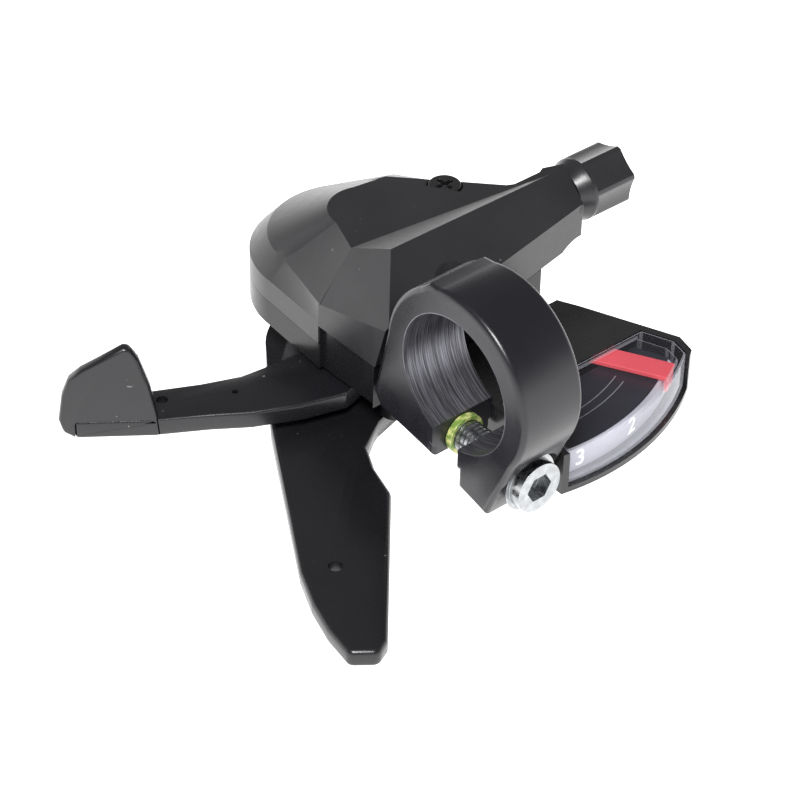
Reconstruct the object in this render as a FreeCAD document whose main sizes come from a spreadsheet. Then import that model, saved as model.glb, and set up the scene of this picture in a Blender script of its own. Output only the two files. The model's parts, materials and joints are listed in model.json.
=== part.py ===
import FreeCAD, Part
import Sketcher
import math
import os

# Left-hand thumb shifter for a flat handlebar, millimetres.
# Origin: centre of the handlebar clamp bore.  X runs along the bar towards the stem,
# Y points forwards, away from the rider, and Z is up, along the lever pivot.

OUT = "parts"
os.makedirs(OUT, exist_ok=True)

doc = FreeCAD.newDocument("thumb_shifter")
sheet = doc.addObject("Spreadsheet::Sheet", "Sizes")

SIZES = {
    # handlebar clamp
    "bar_dia": 22.2, "clamp_width": 11.7, "clamp_wall": 4.0, "lug_gap": 5.6, "bolt_dia": 5.0,
    "bolt_z": -14.0, "bolt_head_dia": 9.6, "foot_front": 17.9, "foot_floor": -16.0,
    "foot_screw_z": -9.4, "foot_screw_dia": 3.0,
    # lever pivot and the levels of its stack
    "pivot_x": 8.0, "pivot_y": 38.0, "shaft_dia": 6.0, "run_fit": 0.05, "case_low": -15.5,
    "case_floor": -14.3, "plate_low": -12.9, "plate_thick": 1.2, "pawl_low": -11.3,
    "pawl_thick": 1.3, "drum_low": -9.9, "drum_top": -5.2, "drum_radius": 10.2,
    "groove_radius": 9.2, "ratchet_tip": 8.6, "drive_radius": 12.8, "release_radius": 11.0,
    "release_top": -16.2, "release_thick": 4.0, "release_blade": 3.2, "main_top": -21.0,
    "main_thick": 4.0, "main_blade": 3.0,
    "cap_top": -25.3, "hub_main": 14.5, "hub_release": 10.6,
    # cover
    "wall": 1.6, "seam_low": -11.0, "seam_high": -7.6, "step_y": 31.2, "band_z": -7.0,
    "ridge_z": -3.3, "plateau_z": 4.0, "ledge_z": 1.4, "neck_end": 41.4, "neck_radius": 4.9,
    # cable side
    "adjuster_y": 27.6, "adjuster_z": -1.7, "adjuster_dia": 10.4, "adjuster_len": 10.6,
    "spigot_dia": 5.2, "cable_bore": 5.0,
    # gear indicator
    "needle_x": 15.1, "needle_y": 29.0, "lens_top": -12.0, "tray_low": -19.4, "needle_low": -14.0,
    "needle_thick": 0.8, "dial_radius": 38.0, "scale_radius": 38.6, "lens_radius": 40.8,
    "lens_wall": 1.0, "window_y": 3.6, "tray_screw_x": 25.6, "tray_screw_y": 24.6,
}
for row, (name, value) in enumerate(SIZES.items(), 1):
    sheet.set("A%d" % row, name)
    sheet.set("B%d" % row, str(value))
    sheet.setAlias("B%d" % row, name)
doc.recompute()


class Dim:
    """A size that carries its number and the sheet expression it comes from."""

    def __init__(self, value, text):
        self.value = float(value)
        self.text = text

    def __add__(self, other):
        other = dim(other)
        return Dim(self.value + other.value, "(%s + %s)" % (self.text, other.text))

    def __sub__(self, other):
        other = dim(other)
        return Dim(self.value - other.value, "(%s - %s)" % (self.text, other.text))

    def __mul__(self, factor):
        return Dim(self.value * factor, "(%s * %.6g)" % (self.text, factor))

    def __truediv__(self, factor):
        return self * (1.0 / factor)

    def __neg__(self):
        return self * -1

    __radd__ = __add__
    __rmul__ = __mul__

    def __rsub__(self, other):
        return dim(other) - self


def dim(value):
    """Any number as a Dim."""
    return value if isinstance(value, Dim) else Dim(value, "(%.6g)" % value)


def size(name):
    """The sheet cell with this alias as a Dim."""
    return Dim(sheet.get(name), "Sizes." + name)


def bind(obj, **fields):
    """Set properties of an object and tie each one to its sheet expression."""
    for name, value in fields.items():
        value = dim(value)
        setattr(obj, name, value.value)
        obj.setExpression(name, value.text)


def place(obj, at, turn=None):
    """Move an object to a point given as three sizes, with an optional rotation."""
    at = [dim(value) for value in at]
    base = FreeCAD.Vector(*[value.value for value in at])
    obj.Placement = FreeCAD.Placement(base, turn or FreeCAD.Rotation())
    for axis, value in zip("xyz", at):
        obj.setExpression("Placement.Base." + axis, value.text)
    return obj


TURNS = {
    "Z": FreeCAD.Rotation(),
    "X": FreeCAD.Rotation(FreeCAD.Vector(0, 1, 0), 90),
    "-Y": FreeCAD.Rotation(FreeCAD.Vector(1, 0, 0), 90),
    "Y": FreeCAD.Rotation(FreeCAD.Vector(1, 0, 0), -90),
}


def cylinder(name, radius, height, at, axis="Z"):
    """A round bar that starts at a point and runs along an axis."""
    obj = doc.addObject("Part::Cylinder", name)
    bind(obj, Radius=radius, Height=height)
    return place(obj, at, TURNS[axis] if isinstance(axis, str) else axis)


def cone(name, radius1, radius2, height, at, axis="Z"):
    """A round taper that starts at a point and runs along an axis."""
    obj = doc.addObject("Part::Cone", name)
    bind(obj, Radius1=radius1, Radius2=radius2, Height=height)
    return place(obj, at, TURNS[axis] if isinstance(axis, str) else axis)


def box(name, length, width, height, at, turn=None):
    """A block whose low corner is at a point."""
    obj = doc.addObject("Part::Box", name)
    bind(obj, Length=length, Width=width, Height=height)
    return place(obj, at, turn)


def hexagon(name, flats, height, at, axis="Z"):
    """A six-sided bar of the given width across flats."""
    obj = doc.addObject("Part::Prism", name)
    obj.Polygon = 6
    bind(obj, Circumradius=dim(flats) / math.sqrt(3), Height=height)
    return place(obj, at, TURNS[axis] if isinstance(axis, str) else axis)


def sketch(name, points, at_z):
    """A closed outline of straight sides, level at a height, every corner tied to its sizes."""
    obj = doc.addObject("Sketcher::SketchObject", name)
    corners = [(dim(u), dim(v)) for u, v in points]
    vectors = [FreeCAD.Vector(u.value, v.value, 0) for u, v in corners]
    count = len(vectors)
    for i in range(count):
        obj.addGeometry(Part.LineSegment(vectors[i], vectors[(i + 1) % count]), False)
    for i in range(count):
        obj.addConstraint(Sketcher.Constraint("Coincident", i, 2, (i + 1) % count, 1))
    for i, (u, v) in enumerate(corners):
        for kind, value in (("DistanceX", u), ("DistanceY", v)):
            index = obj.addConstraint(Sketcher.Constraint(kind, -1, 1, i, 1, value.value))
            obj.setExpression("Constraints[%d]" % index, value.text)
    return place(obj, (0, 0, at_z))


def extrude(name, profile, height, direction=(0, 0, 1)):
    """A profile pushed along a direction."""
    obj = doc.addObject("Part::Extrusion", name)
    obj.Base = profile
    obj.DirMode = "Custom"
    obj.Dir = FreeCAD.Vector(*direction)
    obj.Solid = True
    bind(obj, LengthFwd=height)
    return obj


def prism(name, points, low, height):
    """An upright block with a straight-sided outline."""
    return extrude(name, sketch(name + "_outline", points, low), height)


def slab_yz(name, points, x_low, width):
    """A block with its outline in the YZ plane, pushed along X."""
    profile = sketch(name + "_outline", points, 0)
    turn = FreeCAD.Rotation(FreeCAD.Vector(1, 1, 1), 120)
    place(profile, (x_low, 0, 0), turn)
    return extrude(name, profile, width, (1, 0, 0))


def fuse(name, *items):
    """Several shapes joined into one."""
    obj = doc.addObject("Part::MultiFuse", name)
    obj.Shapes = list(items)
    obj.Refine = True
    return obj


def cut(name, base, *tools):
    """A shape with others taken away."""
    tool = tools[0] if len(tools) == 1 else fuse(name + "_tools", *tools)
    obj = doc.addObject("Part::Cut", name)
    obj.Base = base
    obj.Tool = tool
    obj.Refine = True
    return obj


def common(name, first, second):
    """The part that two shapes share."""
    obj = doc.addObject("Part::Common", name)
    obj.Base = first
    obj.Tool = second
    obj.Refine = True
    return obj


def upright_edges(shape, points, reach=0.05):
    """Numbers of the vertical edges that stand over the given plan points."""
    found = []
    for index, edge in enumerate(shape.Edges, 1):
        first, last = edge.Vertexes[0].Point, edge.Vertexes[-1].Point
        flat = math.hypot(first.x - last.x, first.y - last.y)
        if flat > 1e-4 or abs(first.z - last.z) < 1e-4:
            continue
        for u, v in points:
            if math.hypot(first.x - dim(u).value, first.y - dim(v).value) < reach:
                found.append(index)
    return found


def fillet(name, base, choose, radius):
    """Round the edges whose numbers the chooser picks from the finished base shape."""
    doc.recompute()
    obj = doc.addObject("Part::Fillet", name)
    obj.Base = base
    radius = dim(radius).value
    obj.Edges = [(index, radius, radius) for index in choose(base.Shape)]
    return obj


def round_corners(name, base, corners, radius):
    """Round the upright corners of a prism."""
    return fillet(name, base, lambda shape: upright_edges(shape, corners), radius)


def above_plane(name, point, normal, reach=90.0):
    """A big block that fills the side of a plane its normal points to."""
    turn = FreeCAD.Rotation(FreeCAD.Vector(0, 0, 1), FreeCAD.Vector(*normal))
    corner = turn.multVec(FreeCAD.Vector(-reach / 2, -reach / 2, 0))
    at = [dim(p) + c for p, c in zip(point, corner)]
    return box(name, reach, reach, 30.0, at, turn)


def coil(name, radius, wire, pitch, turns, at):
    """A round-wire helical spring with its axis upright."""
    path = doc.addObject("Part::Helix", name + "_path")
    path.LocalCoord = 0
    path.SegmentLength = 0.5
    bind(path, Radius=radius, Pitch=pitch, Height=pitch * turns)
    ring = doc.addObject("Part::Circle", name + "_section")
    bind(ring, Radius=wire)
    place(ring, (radius, 0, 0), TURNS["Y"])
    sweep = doc.addObject("Part::Sweep", name)
    sweep.Sections = [ring]
    sweep.Spine = (path, ["Edge%d" % (i + 1) for i in range(math.ceil(turns * 2))])
    sweep.Solid = True
    sweep.Frenet = True
    return place(sweep, at)


parts = []


def node(name, obj):
    """Give a finished shape its node name and put it on the export list."""
    obj.Label = name
    parts.append(obj)
    return obj


PX, PY = size("pivot_x"), size("pivot_y")
bore_radius = size("bar_dia") / 2
half_width = size("clamp_width") / 2
wall = size("wall")
fit = size("run_fit")
shaft_radius = size("shaft_dia") / 2

# ---------------------------------------------------------------- handlebar clamp
outer = bore_radius + size("clamp_wall")
front, foot = size("foot_front"), size("foot_floor")
half_gap = size("lug_gap") / 2
lug_front = half_gap + 1.3
lug_rear = -half_gap + 1.3


def side_edges(shape):
    """Outline edges of a clamp piece's two side faces."""
    numbers = []
    for index, edge in enumerate(shape.Edges, 1):
        bounds = edge.BoundBox
        if bounds.XMax - bounds.XMin < 0.02 and abs(abs(bounds.XMin) - half_width.value) < 0.02:
            numbers.append(index)
    return numbers


ring = cylinder("ring_blank", outer, size("clamp_width"), (-half_width, 0, 0), "X")
foot_block = slab_yz("foot_block", [
    (3.0, 14.6), (6.4, 14.2), (10.2, 10.8), (14.6, 3.0), (front, -11.6), (front - 1.6, -14.0),
    (lug_front, foot), (lug_front, -2.0)], -half_width, size("clamp_width"))
lug_block = slab_yz("lug_block", [
    (lug_rear, -4.0), (lug_rear, -18.0), (-7.8, -19.6), (-11.6, -11.0), (-13.6, -6.0),
    (-9.0, -4.0)], -half_width, size("clamp_width"))
blank = fuse("clamp_blank", *[fillet("clamp_round_%d" % i, item, side_edges, 1.0)
                              for i, item in enumerate((ring, foot_block, lug_block))])
bar_hole = cylinder("bar_hole", bore_radius, size("clamp_width") + 4, (-half_width - 2, 0, 0), "X")
gap_cut = box("gap_cut", size("clamp_width") + 4, size("lug_gap"), 24, (-half_width - 2, lug_rear, -26))
bolt_z = size("bolt_z")
bolt_radius = size("bolt_dia") / 2
bolt_hole = cylinder("bolt_hole", bolt_radius + 0.2, 40, (0, -22, bolt_z), "Y")
head_seat = cylinder("head_seat", size("bolt_head_dia") / 2 + 0.6, 12, (0, -21.2, bolt_z), "Y")
foot_z, foot_screw = size("foot_screw_z"), size("foot_screw_dia") / 2
FOOT_SCREW_X = (-1.4, 3.6)
foot_taps = [cylinder("foot_tap_%d" % i, foot_screw + 0.02, 10, (x, 11.5, foot_z), "Y")
             for i, x in enumerate(FOOT_SCREW_X)]
node("clamp_band", cut("clamp_cut", blank, bar_hole, gap_cut, bolt_hole, head_seat, *foot_taps))

head_y = -9.2
bolt_shank = cylinder("bolt_shank", bolt_radius - 0.05, 25.5, (0, head_y, bolt_z), "Y")
bolt_flange = cone("bolt_flange", 3.9, size("bolt_head_dia") / 2, 1.8, (0, head_y, bolt_z), "-Y")
bolt_top = cylinder("bolt_top", 4.1, 2.0, (0, head_y - 1.8, bolt_z), "-Y")
bolt_socket = hexagon("bolt_socket", 4.0, 2.6, (0, head_y - 4.2, bolt_z), "Y")
node("clamp_bolt", cut("clamp_bolt_cut", fuse("bolt_body", bolt_shank, bolt_flange, bolt_top), bolt_socket))

lock_tube = cylinder("lock_tube", bolt_radius + 0.8, 1.2, (0, lug_front - 1.2, bolt_z), "Y")
lock_hole = cylinder("lock_hole", bolt_radius, 2.0, (0, lug_front - 1.6, bolt_z), "Y")
node("clamp_lock_ring", cut("lock_ring_cut", lock_tube, lock_hole))

# ---------------------------------------------------------------- top cover
plateau, ledge, ridge, band = size("plateau_z"), size("ledge_z"), size("ridge_z"), size("band_z")
seam_low, seam_high, step_y = size("seam_low"), size("seam_high"), size("step_y")
neck_end = size("neck_end")

# Facets of the cover: a point on each plane and its outward normal.
CREST = (2.2, 23.5, 7.5)
FACETS = {
    "outboard": ((0.8, 31.3, 4.0), (-0.756, 0.157, 0.635)),
    "label": (CREST, (0.14, -0.69, 0.71)),
    "rear": ((0, 15.3, 1.4), (0, -0.963, -0.27)),
    "strip": (CREST, (0.047, 0.416, 0.908)),
}


def facet_block(name, facet, inset=0.0):
    """The block that a facet trims off, moved inwards for the hollow side."""
    point, normal = FACETS[facet]
    return above_plane(name, [p - inset * c for p, c in zip(point, normal)], normal)


def nose_level(name, corner, centre, radius, apex, tail, inset, height):
    """One level of the nose: outboard side, round front, taper towards the neck."""
    radius = radius - inset
    back = step_y.value - 0.3

    def on_arc(degrees):
        angle = math.radians(degrees)
        return FreeCAD.Vector(centre[0] + radius * math.cos(angle),
                              centre[1] + radius * math.sin(angle), height)

    corner = FreeCAD.Vector(corner + inset, back, height)
    tip = FreeCAD.Vector(apex[0] - 0.8 * inset, apex[1] - 0.9 * inset, height)
    end = FreeCAD.Vector(tail - 2 * inset, back, height)
    obj = doc.addObject("Part::Feature", name)
    obj.Shape = Part.Wire([
        Part.LineSegment(corner, on_arc(180)).toShape(),
        Part.Arc(on_arc(180), on_arc(125), on_arc(70)).toShape(),
        Part.LineSegment(on_arc(70), tip).toShape(),
        Part.LineSegment(tip, end).toShape(),
        Part.LineSegment(end, corner).toShape(),
    ])
    return obj


FRONT_SCREW, REAR_SCREW = (25.6, 38.0), (9.0, 20.6)
tap_radius = dim(1.15)
WIDE = (-5.5, (10.5, 44.2), 15.0, (27.0, 52.0), 41.0)
BROW = (-5.5, (10.6, 43.0), 13.0, (26.0, 50.8), 40.0)
CROWN = (0.8, (9.5, 38.0), 6.0, (16.8, 42.9), 31.0)


def nose_loft(name, inset, levels):
    """The nose as a ruled loft through outlines at rising heights."""
    sections = []
    for i, (outline, height) in enumerate(levels):
        sections.append(nose_level("%s_level_%d" % (name, i), *outline, inset, height))
    loft = doc.addObject("Part::Loft", name)
    loft.Sections = sections
    loft.Solid = True
    loft.Ruled = True
    return loft


def rear_outline(inset, end):
    """Plan of the half that faces the bar, from the outboard wall to the neck."""
    return [
        (-5.5 + inset, 15.4 + inset), (-5.5 + inset, step_y), (33.0 - inset, step_y - 0.2),
        (end, 28.0 - inset), (end, 22.9 + inset), (19.7, 18.6 + inset), (6.5, 16.2 + inset)]


def cover_body(name, inset, low, levels, top, end):
    """The cover as one block: nose, faceted rear half and round neck."""
    nose = nose_loft(name + "_nose", inset, levels)
    rear = prism(name + "_rear", rear_outline(inset, end), low, dim(top) - low)
    neck = cylinder(name + "_neck", size("neck_radius") - inset, end - 28.0,
                    (28.0, size("adjuster_y"), size("adjuster_z")), "X")
    trims = [facet_block("%s_%s" % (name, facet), facet, inset) for facet in ("outboard", "label", "rear")]
    return fuse(name, nose, cut(name + "_faceted", fuse(name + "_rough", rear, neck), *trims))


shell = cover_body("cover_shell", 0.0, seam_low,
                   [(WIDE, seam_low.value), (WIDE, band.value), (BROW, ridge.value),
                    (CROWN, plateau.value)], 9.0, neck_end)
room = cover_body("cover_room", wall.value, seam_low - 1,
                  [(WIDE, seam_low.value - 1), (WIDE, band.value), (BROW, ridge.value),
                   (CROWN, plateau.value - wall.value)], plateau - wall, dim(36.0))
above_plateau = box("above_plateau", 80, 80, 12, (-20, 0, plateau))
valley = common("valley", above_plateau, facet_block("strip_block", "strip"))
ledge_cut = prism("ledge_cut", [(16.8, 42.9), (23.6, 32.4), (33.4, 27.8), (37.0, 28.6), (60.0, 40.0),
                                (60.0, 60.0), (16.8, 60.0)], ledge, 12)
step_cut = box("step_cut", 60, 30, seam_high - seam_low, (-12, step_y - 30, seam_low))
roof_limit = prism("roof_limit", [(13.0, 60.0), (13.0, 44.5), (20.5, 31.6), (31.0, 27.0), (50.0, 27.0),
                                  (50.0, 60.0)], ledge - wall, 12)
room_cut = cut("room_cut", room, roof_limit)
adjuster_y, adjuster_z = size("adjuster_y"), size("adjuster_z")
spigot = size("spigot_dia") / 2
neck_bore = cylinder("neck_bore", spigot + fit, 20, (26, adjuster_y, adjuster_z), "X")
spring_bore = cylinder("spring_bore", 3.7, 6, (neck_end - 4.4, adjuster_y, adjuster_z), "X")
SCOOP_AT, SCOOP_RADIUS = (10.9, 14.6), 6.0
scoop = cylinder("scoop", SCOOP_RADIUS, 20, (*SCOOP_AT, -3.6))
scoop_round = cylinder("scoop_round", SCOOP_RADIUS + 1.2, 20, (*SCOOP_AT, -5.0))
scoop_jacket = common("scoop_jacket", shell, scoop_round)
neck_arch = cylinder("neck_arch", 7.0, 30, (40.0, 13.0, -13.7), "Y")
front_post = cylinder("cover_post_front", 3.4, ledge - seam_low, (*FRONT_SCREW, seam_low))
rear_post = cylinder("cover_post_rear", 2.5, dim(-3.0) - seam_high, (*REAR_SCREW, seam_high))
posts_in_shell = common("posts_in_shell", fuse("cover_posts", front_post, rear_post), shell)
shell_open = cut("cover_open", fuse("cover_ribbed", cut("cover_hollow", shell, room_cut), scoop_jacket,
                                    posts_in_shell),
                 valley, ledge_cut, step_cut, scoop, neck_bore, spring_bore, neck_arch)
front_hole = cylinder("cover_hole_front", tap_radius + 0.35, 30, (*FRONT_SCREW, seam_low - 5))
front_sink = cylinder("cover_sink_front", 2.9, 12, (*FRONT_SCREW, ledge - 1.2))
rear_hole = cylinder("cover_tap_rear", tap_radius + 0.02, 3.0, (*REAR_SCREW, seam_high - 0.2))
node("top_cover", cut("top_cover_cut", shell_open, front_hole, front_sink, rear_hole))

# ---------------------------------------------------------------- lower case and base plate
case_low, case_floor = size("case_low"), size("case_floor")
plate_low, plate_thick = size("plate_low"), size("plate_thick")


def polar(radius, degrees, centre=None):
    """A plan point at a radius and a direction from a centre, by default the lever pivot."""
    cx, cy = centre or (PX, PY)
    angle = math.radians(degrees)
    return (cx + dim(radius) * math.cos(angle), cy + dim(radius) * math.sin(angle))


def arc_slot(name, radius, start, stop, half_width_, low, height):
    """A curved slot about the lever pivot, round at both ends."""
    ring_out = cylinder(name + "_out", dim(radius) + half_width_, height, (PX, PY, low))
    ring_in = cylinder(name + "_in", dim(radius) - half_width_, dim(height) + 2, (PX, PY, dim(low) - 1))
    middle = (start + stop) / 2
    reach = dim(radius) * 2.5
    wedge = prism(name + "_wedge", [(PX, PY), polar(reach, start), polar(reach, middle),
                                    polar(reach, stop)], low, height)
    band_piece = common(name + "_band", cut(name + "_ring", ring_out, ring_in), wedge)
    ends = [cylinder("%s_end_%d" % (name, i), half_width_, height, (*polar(radius, angle), low))
            for i, angle in enumerate((start, stop))]
    return fuse(name, band_piece, *ends)


DRIVE_START, DRIVE_SWEEP = 60.0, -42.0
RELEASE_START, RELEASE_SWEEP = -100.0, 14.0
HOLD_AT = polar(13.5, -35.0)
TRAY_SCREW = (size("tray_screw_x"), size("tray_screw_y"))


def case_nose(name, inset, low, height):
    """The front of the lower case, under the cover's widest level."""
    corner, centre, radius, apex, _ = WIDE
    level = nose_level(name + "_level", corner, centre, radius, apex, 31.0, inset, dim(low).value)
    return extrude(name, level, height)


case_rear = [(-5.5, 18.1), (-5.5, step_y), (31.0, step_y), (31.0, 20.8), (19.7, 18.7), (9.0, 18.1)]
case_room = [(-3.9, 19.7), (-3.9, step_y), (29.4, step_y), (29.4, 22.2), (19.4, 20.3), (9.0, 19.7)]
case_block = fuse(
    "case_block",
    case_nose("case_front", 0.0, case_low, seam_low - 0.05 - case_low),
    prism("case_back", case_rear, case_low, seam_low - 0.05 - case_low),
    prism("case_riser", [(x, y if y != step_y else step_y - 0.35) for x, y in case_rear],
          case_low, seam_high - 0.05 - case_low))
case_hollow = fuse(
    "case_hollow",
    case_nose("case_room_front", wall.value, case_floor, 10),
    prism("case_room_back", case_room, case_floor, 10))
shaft_hole = cylinder("shaft_hole", shaft_radius + fit, 20, (PX, PY, -24))
drive_slot = arc_slot("drive_slot", size("drive_radius"), DRIVE_START + DRIVE_SWEEP - 2,
                      DRIVE_START + 2, 1.8, -18, 8)
release_slot = arc_slot("release_slot", size("release_radius"), RELEASE_START - 2,
                        RELEASE_START + RELEASE_SWEEP + 2, 1.6, -18, 8)
window = box("needle_window", 11.9, 8, 1.8, (11.7, 15, size("needle_low") - 0.4))
side_relief = box("side_relief", 0.8, 12.6, 8.6, (-5.6, 18.2, case_low - 0.1))
foot_holes = [cylinder("case_foot_hole_%d" % i, foot_screw + 0.1, 8, (x, 16, foot_z), "Y")
              for i, x in enumerate(FOOT_SCREW_X)]
case_posts = [
    cylinder("case_post_front", 3.2, seam_low - 0.05 - case_low, (*FRONT_SCREW, case_low)),
    cylinder("case_post_rear", 2.4, seam_high - 0.05 - case_low, (*REAR_SCREW, case_low)),
    cylinder("tray_post", 2.4, 4.5, (*TRAY_SCREW, case_low)),
    cylinder("plate_post_0", 1.8, plate_low - case_low, (15.0, 55.0, case_low)),
    cylinder("plate_post_1", 1.8, plate_low - case_low, (-1.0, 30.0, case_low)),
    cylinder("stop_post", 2.2, 3.9, (-0.3, 19.0, -19.3)),
]
case_taps = [
    cylinder("case_tap_front", tap_radius + 0.02, 20, (*FRONT_SCREW, case_floor)),
    cylinder("case_hole_rear", tap_radius + 0.1, 20, (*REAR_SCREW, case_low - 1)),
    cylinder("tray_tap", tap_radius + 0.02, 8, (*TRAY_SCREW, case_low - 1)),
]
case_shell = fuse("case_shell", cut("case_open", case_block, case_hollow), *case_posts)
node("lower_case", cut("lower_case_cut", case_shell, shaft_hole, drive_slot, release_slot, window,
                       side_relief, *foot_holes, *case_taps))

plate_outline = [(-3.4, 20.2), (-3.4, 31.0), (-2.4, 43.0), (1.4, 51.6), (9.5, 56.9), (14.4, 56.3),
                 (24.0, 48.6), (27.0, 33.6), (9.2, 33.6), (6.4, 30.4), (6.4, 20.2)]
plate_sheet = prism("plate_sheet", plate_outline, plate_low, plate_thick)
plate_flange = box("plate_flange", 9.8, plate_thick, 5.8, (-3.4, 20.2, plate_low))
plate_holes = [cylinder("plate_foot_hole_%d" % i, foot_screw + 0.1, 8, (x, 16, foot_z), "Y")
               for i, x in enumerate(FOOT_SCREW_X)]
front_gap = cylinder("plate_front_gap", 3.5, 6, (25.6, 38.0, -15))
pocket = cylinder("plate_release_gap", 1.6, 6, (*polar(11.0, -93.0), -15))
node("base_plate", cut("base_plate_cut", fuse("plate_body", plate_sheet, plate_flange), shaft_hole,
                       drive_slot, release_slot, front_gap, pocket, *plate_holes))

screws = []
for i, x in enumerate(FOOT_SCREW_X):
    shank = cylinder("foot_shank_%d" % i, foot_screw, 9.5, (x, 12.0, foot_z), "Y")
    head = cylinder("foot_head_%d" % i, 2.2, 1.8, (x, 21.5, foot_z), "Y")
    socket = hexagon("foot_socket_%d" % i, 2.0, 1.4, (x, 22.1, foot_z), "Y")
    screws.append(cut("foot_screw_%d" % i, fuse("foot_body_%d" % i, shank, head), socket))
node("foot_screws", fuse("foot_screws_pair", *screws))


def cross_screw(name, at, length, seat, up):
    """A small cross-recess screw: shank on one side of its seat, pan head on the other."""
    x, y = at
    shank_low, head_low = (seat - length, seat) if up else (seat, seat - 1.5)
    recess_low = seat + 0.6 if up else seat - 2.0
    screw_shank = cylinder(name + "_shank", tap_radius, length, (x, y, shank_low))
    head = cylinder(name + "_head", 2.6, 1.5, (x, y, head_low))
    bars = [box("%s_bar_%d" % (name, i), long, wide, 1.4,
                (dim(x) - long / 2, dim(y) - wide / 2, recess_low))
            for i, (long, wide) in enumerate(((3.2, 0.8), (0.8, 3.2)))]
    return cut(name, fuse(name + "_body", screw_shank, head), *bars)


node("cover_screws", fuse("cover_screws_pair",
                          cross_screw("cover_screw_front", FRONT_SCREW, 13.0, ledge - 1.2, True),
                          cross_screw("cover_screw_rear", REAR_SCREW, 10.4, case_low, False)))

# ---------------------------------------------------------------- pivot shaft and its stack
drum_low, drum_top = size("drum_low"), size("drum_top")
cap_top = size("cap_top")
shaft_shank = cylinder("shaft_shank", shaft_radius, drum_top + 3.2 - cap_top + 1.0, (PX, PY, cap_top - 1.0))
shaft_head = cylinder("shaft_head", 4.6, 1.6, (PX, PY, cap_top - 2.6))
shaft_slot = box("shaft_slot", 7.0, 1.2, 1.0, (PX - 3.5, PY - 0.6, cap_top - 2.7))
node("pivot_shaft", cut("pivot_shaft_cut", fuse("shaft_body", shaft_shank, shaft_head), shaft_slot))
washer_hole = cylinder("washer_hole", shaft_radius, 40, (PX, PY, -30))
nut_body = hexagon("nut_body", 8.0, 2.4, (PX, PY, drum_top + 0.5))
node("shaft_nut", cut("shaft_nut_cut", nut_body, washer_hole))
release_low = size("release_top") - size("release_thick")
rings = [cut("thrust_%d" % i, cylinder("thrust_disc_%d" % i, 5.4, 0.4, (PX, PY, z)), washer_hole)
         for i, z in enumerate((size("release_top") + 0.15, size("main_top") + 0.2, drum_top + 0.1))]
node("thrust_washers", fuse("thrust_set", *rings))
cap_disc = cylinder("cap_disc", 12.0, 1.0, (PX, PY, cap_top - 1.0))
node("bottom_cap", cut("bottom_cap_cut", cap_disc, washer_hole))

# ---------------------------------------------------------------- main (thumb) lever
main_top, main_thick = size("main_top"), size("main_thick")
main_low = main_top - main_thick
main_blade = size("main_blade")
blade = prism("main_blade_plate", [
    polar(size("hub_main"), 149.0), (-16.4, 29.2), (-33.5, 1.0), (-36.3, -5.2), (-38.1, -11.0),
    (-39.0, -16.7), (-35.6, -19.3), (-33.0, -18.1), (-11.6, 6.4), (-9.8, 12.4), (-7.6, 16.6),
    (-2.5, 20.3), polar(size("hub_main"), -85.0), (PX, PY)], main_top - main_blade, main_blade)
blade_round = round_corners("main_blade_round", blade, [(-39.0, -16.7), (-35.6, -19.3)], 1.4)
blade_soft = round_corners("main_blade_soft", blade_round, [(-11.6, 6.4), (-9.8, 12.4), (-36.3, -5.2)], 3.0)
thumb_pad = prism("thumb_pad", [(-28.2, -12.4), (-14.9, 2.7), (-16.4, 4.0), (-29.7, -11.1)],
                  main_top - main_blade - 4.5, 4.6)
main_hub = cylinder("main_hub", size("hub_main"), main_thick, (PX, PY, main_low))
main_recess = cut("main_recess", cylinder("main_recess_out", 9.4, 2.6, (PX, PY, main_low - 0.01)),
                  cylinder("main_recess_in", 4.6, 4, (PX, PY, main_low - 1)))
main_bore = cylinder("main_bore", shaft_radius + fit, 20, (PX, PY, -32))
lever_hole = cylinder("main_lever_hole", 1.1, 20, (-28.8, -1.4, -32))
drive_x, drive_y = polar(size("drive_radius"), DRIVE_START)
drive_hole = cylinder("drive_hole", 1.4, 20, (drive_x, drive_y, -32))
node("main_lever", cut("main_lever_cut", fuse("main_body", blade_soft, thumb_pad, main_hub), main_recess,
                       main_bore, lever_hole, drive_hole))
pawl_low, pawl_thick = size("pawl_low"), size("pawl_thick")
pin_top = pawl_low + pawl_thick + 2.6
node("drive_pin", cylinder("drive_pin_bar", 1.4, pin_top - main_low - 0.6,
                           (drive_x, drive_y, main_low + 0.6)))


def pawl(name, pivot, tip_radius, tip_angle, pin_radius):
    """A flat pawl: eye round its pin and an arm whose nose stands clear of the ratchet."""
    eye = cylinder(name + "_eye", 2.4, pawl_thick, (*pivot, pawl_low))
    px, py = pivot[0].value, pivot[1].value
    tip = polar(tip_radius, tip_angle)
    outer_tip = polar(tip_radius + 1.9, tip_angle)
    dx, dy = tip[0].value - px, tip[1].value - py
    length = math.hypot(dx, dy)
    nx, ny = -dy / length * 1.6, dx / length * 1.6
    root = [(pivot[0] + nx, pivot[1] + ny), (pivot[0] - nx, pivot[1] - ny)]
    arm = prism(name + "_arm", root + [tip, outer_tip], pawl_low, pawl_thick)
    hole = cylinder(name + "_eye_hole", dim(pin_radius) + fit, 20, (*pivot, -20))
    return cut(name + "_cut", fuse(name + "_body", eye, arm), hole)


coil_low = pawl_low + pawl_thick + 0.3
node("feed_pawl", pawl("feed", (drive_x, drive_y), 9.2, 36.0, 1.4))
node("feed_pawl_spring", coil("feed_coil", 1.85, 0.2, 0.6, 3, (drive_x, drive_y, coil_low)))

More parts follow.
